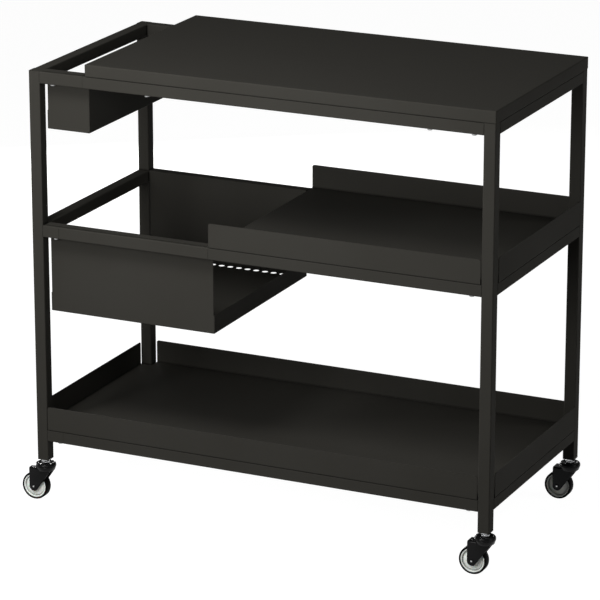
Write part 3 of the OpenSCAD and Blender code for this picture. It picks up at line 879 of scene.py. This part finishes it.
@dataclass
class Fasteners:
    """The zinc screws under the rails. Sizes are in millimetres."""

    materials: Materials
    head_r: float = 5.1
    head_h: float = 4.2
    head_round: float = 2.2
    head_round_turns: int = 5
    shank_r: float = 3.0
    shank_tip: float = 0.6
    joint_shank: float = 6.2
    socket_flats: float = 4.0
    socket_h: float = 2.2
    socket_sides: int = 6
    socket_match: float = 0.01
    steps: int = 24

    def build(self) -> None:
        """Builds the joint screws and the worktop screws."""
        levels, sides = ("bottom", "middle", "top"), ("front", "back")
        rails = [(side, level) for level in levels for side in sides]
        joint = [screw for side, level in rails for screw in self.joint_places(side, level)]
        self.add_set("joint_screw_set", "joint_screws", joint)
        self.add_set("worktop_screw_set", "worktop_screws", self.worktop_places())

    def add_set(self, name: str, node: str, screws: list[tuple[Vector, float]]) -> None:
        """Builds one set of screws as one piece.

        Args:
            name: the piece's name.
            node: the solids that it stands for.
            screws: each screw's place, and its shank's length in millimetres.
        """
        mesh = bmesh.new()
        for place, length in screws:
            self.add_screw(mesh, place, length)
        add_piece(name, mesh, Slot.ZINC, CART, self.materials, (node,), spot=Spot.SCREW)

    def joint_places(self, side: str, level: str) -> list[tuple[Vector, float]]:
        """Finds the joint screws under one long rail.

        Args:
            side: front or back.
            level: bottom, middle or top.

        Returns:
            Each screw's place under the rail, and its shank's length in millimetres.
        """
        low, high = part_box("joint_screws")
        rail_low, rail_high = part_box(f"{side}_{level}_rail")
        y = (rail_low.y + rail_high.y) / 2
        reach = self.head_r * MM
        places = [Vector((x, y, rail_low.z)) for x in (low.x + reach, high.x - reach)]
        return [(place, self.joint_shank) for place in places]

    def worktop_places(self) -> list[tuple[Vector, float]]:
        """Finds the long screws that hold the worktop.

        Returns:
            Each screw's place under the top rails, and its shank's length in millimetres.
        """
        low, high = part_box("worktop_screws")
        reach = self.head_r * MM
        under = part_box("front_top_rail")[0].z
        length = (high.z - under) / MM
        return [
            (Vector((x, y, under)), length)
            for x in (low.x + reach, high.x - reach)
            for y in (low.y + reach, high.y - reach)
        ]

    def add_screw(self, mesh: bmesh.types.BMesh, place: Vector, length: float) -> None:
        """Spins one screw with a low round head below its place and a socket in the head.

        Args:
            mesh: the bmesh to add to.
            place: the middle of the head's upper face.
            length: the shank's length in millimetres.
        """
        socket_r = self.socket_flats / math.sqrt(3)
        bend, turns = self.head_round, self.head_round_turns
        shoulder = [
            (self.head_r - bend + bend * math.sin(a), -self.head_h + bend - bend * math.cos(a))
            for a in (math.pi / 2 * i / turns for i in range(turns + 1))
        ]
        profile = [
            (0.0, -self.head_h + self.socket_h),
            (socket_r, -self.head_h + self.socket_h),
            (socket_r, -self.head_h),
            *shoulder,
            (self.head_r, 0.0),
            (self.shank_r, 0.0),
            (self.shank_r, length - self.shank_tip),
            (self.shank_r - self.shank_tip, length),
            (0.0, length),
        ]
        made = lathe(mesh, profile, place, Axis.UP, self.steps, closed=False)
        sector = 2 * math.pi / self.socket_sides
        for vert in made:
            arm = vert.co - place
            radius = math.hypot(arm.x, arm.y)
            if abs(radius - socket_r * MM) > self.socket_match * MM:
                continue
            turn = math.atan2(arm.y, arm.x) % sector - sector / 2
            stretch = math.cos(sector / 2) / math.cos(turn)
            vert.co = place + Vector((arm.x * stretch, arm.y * stretch, arm.z))


# The stage


@dataclass(frozen=True)
class Lamp:
    """One soft rectangular lamp. Lengths are in metres."""

    name: str
    place: tuple[float, float, float]
    target: tuple[float, float, float]
    width: float
    height: float
    power: float

    def build(self) -> None:
        """Adds the lamp to the scene."""
        data = bpy.data.lights.new(self.name, "AREA")
        data.shape = "RECTANGLE"
        data.size = self.width
        data.size_y = self.height
        data.energy = self.power
        lamp = bpy.data.objects.new(self.name, data)
        lamp.location = self.place
        toward = Vector(self.target) - Vector(self.place)
        lamp.rotation_euler = toward.to_track_quat("-Z", "Y").to_euler()
        bpy.context.scene.collection.objects.link(lamp)


@dataclass
class Studio:
    """The pale floor, the surroundings, the lamps and the camera.

    Lengths are in metres, angles in degrees, and the lens and sensor in millimetres.
    """

    floor_half: float = 30.0
    floor_cells: int = 8
    floor_glow: float = 0.97
    floor_tone: float = 0.16
    mirrored_sky: float = 0.25
    azimuth: float = 25.18
    elevation: float = 17.48
    distance: float = 6.447
    focal: float = 208.3
    sensor: float = 36.0
    far_end: float = 200.0
    target: tuple[float, float, float] = (-0.0027, 0.0, 0.3918)
    lamps: tuple[Lamp, ...] = field(
        default_factory=lambda: (
            Lamp("key_near", (-0.4, -1.0, 1.7), (0.0, -0.2, 0.7), 0.5, 0.5, 11.4),
            Lamp("front_high", (-0.5, -1.7, 3.0), (0.0, -0.2, 0.6), 0.8, 0.8, 21.5),
            Lamp("front_low", (-0.5, -1.6, 0.9), (0.0, -0.2, 0.7), 0.6, 0.6, 16.8),
            Lamp("front_right", (0.3, -1.1, 1.1), (0.2, -0.2, 0.7), 0.5, 0.5, 4.3),
            Lamp("side_right", (2.3, 0.4, 2.2), (0.3, 0.0, 0.5), 0.8, 0.8, 12.5),
            Lamp("side_right_low", (2.4, -0.5, 0.3), (0.3, 0.0, 0.4), 0.8, 0.3, 4.5),
            Lamp("side_left", (-2.2, 0.4, 0.3), (0.0, 0.0, 0.4), 0.8, 0.25, 22.0),
            Lamp("back_low", (-1.5, 2.2, 0.3), (0.0, 0.0, 0.4), 1.0, 0.25, 26.0),
        )
    )

    def build(self) -> None:
        """Builds the floor, the surroundings, the lamps and the camera."""
        self.build_camera()
        self.build_floor()
        self.build_world()
        for lamp in self.lamps:
            lamp.build()

    def build_camera(self) -> None:
        """Places the camera on the photograph's line of sight."""
        data = bpy.data.cameras.new("camera")
        data.sensor_width = self.sensor
        data.lens = self.focal
        data.clip_end = self.far_end
        turn, rise = math.radians(self.azimuth), math.radians(self.elevation)
        level = math.cos(rise)
        back = Vector((math.sin(turn) * level, -math.cos(turn) * level, math.sin(rise)))
        camera = bpy.data.objects.new("camera", data)
        camera.location = Vector(self.target) + back * self.distance
        camera.rotation_euler = (-back).to_track_quat("-Z", "Y").to_euler()
        bpy.context.scene.collection.objects.link(camera)
        bpy.context.scene.camera = camera

    def build_floor(self) -> None:
        """Lays a pale floor that shows as white and keeps the cart's shadow."""
        mesh = bmesh.new()
        cells = self.floor_cells
        bmesh.ops.create_grid(mesh, x_segments=cells, y_segments=cells, size=self.floor_half)
        data = bpy.data.meshes.new("floor")
        mesh.to_mesh(data)
        mesh.free()
        material = bpy.data.materials.new("pale_floor")
        material.use_nodes = True
        tree = material.node_tree
        tree.nodes.remove(tree.nodes["Principled BSDF"])
        matt = tree.nodes.new("ShaderNodeBsdfDiffuse")
        tone = self.floor_tone
        matt.inputs["Color"].default_value = (tone, tone, tone, 1.0)
        glow = tree.nodes.new("ShaderNodeEmission")
        both = tree.nodes.new("ShaderNodeAddShader")
        strength = tree.nodes.new("ShaderNodeMath")
        strength.operation = "MULTIPLY"
        strength.inputs[1].default_value = self.floor_glow
        link(tree, seen_rays(tree), strength.inputs[0])
        link(tree, strength.outputs[0], glow.inputs["Strength"])
        link(tree, matt.outputs[0], both.inputs[0])
        link(tree, glow.outputs[0], both.inputs[1])
        link(tree, both.outputs[0], tree.nodes["Material Output"].inputs["Surface"])
        data.materials.append(material)
        floor = bpy.data.objects.new("floor", data)
        bpy.context.scene.collection.objects.link(floor)

    def build_world(self) -> None:
        """Makes the surroundings white to the eye, pale in a gloss and dark as a light."""
        world = bpy.data.worlds.new("surroundings")
        bpy.context.scene.world = world
        world.use_nodes = True
        tree = world.node_tree
        backdrop = tree.nodes["Background"]
        backdrop.inputs["Color"].default_value = (1.0, 1.0, 1.0, 1.0)
        link(tree, seen_rays(tree, self.mirrored_sky), backdrop.inputs["Strength"])


def seen_rays(tree: bpy.types.NodeTree, mirrored: float = 1.0) -> bpy.types.NodeSocket:
    """Adds a value that is 1 on rays from the camera or a clear surface.

    Args:
        tree: the node tree to add to.
        mirrored: the value on rays from a gloss.

    Returns:
        The value's output socket.
    """
    path = tree.nodes.new("ShaderNodeLightPath")
    total = tree.nodes.new("ShaderNodeMath")
    total.operation = "MULTIPLY_ADD"
    total.inputs[1].default_value = mirrored
    capped = tree.nodes.new("ShaderNodeMath")
    capped.operation = "ADD"
    capped.use_clamp = True
    link(tree, path.outputs["Is Glossy Ray"], total.inputs[0])
    link(tree, path.outputs["Is Camera Ray"], total.inputs[2])
    link(tree, total.outputs[0], capped.inputs[0])
    link(tree, path.outputs["Is Transmission Ray"], capped.inputs[1])
    return capped.outputs[0]


def dress_solids(materials: Materials) -> None:
    """Gives every solid the finish of its slot.

    Args:
        materials: the material of each slot.
    """
    slots = {part["node"]: part["material_slot"] for part in frame["record"]["subparts"]}
    for node, solid in frame["nodes"].items():
        material = materials[Slot(slots[node])]
        for place in solid.material_slots:
            place.material = material
        if not solid.material_slots:
            solid.data.materials.append(material)


def main() -> None:
    """Builds the cart's looks round its solids, then the stage."""
    logging.basicConfig(level=logging.INFO, format="%(name)s: %(message)s")
    bpy.context.scene.view_settings.view_transform = "Standard"
    effects = SurfaceEffects()
    materials = {slot: finish.build(effects) for slot, finish in FINISHES.items()}
    dress_solids(materials)
    for corner in CORNERS:
        Caster(corner, materials).build()
    Fasteners(materials).build()
    Studio().build()


if __name__ == "__main__":
    main()
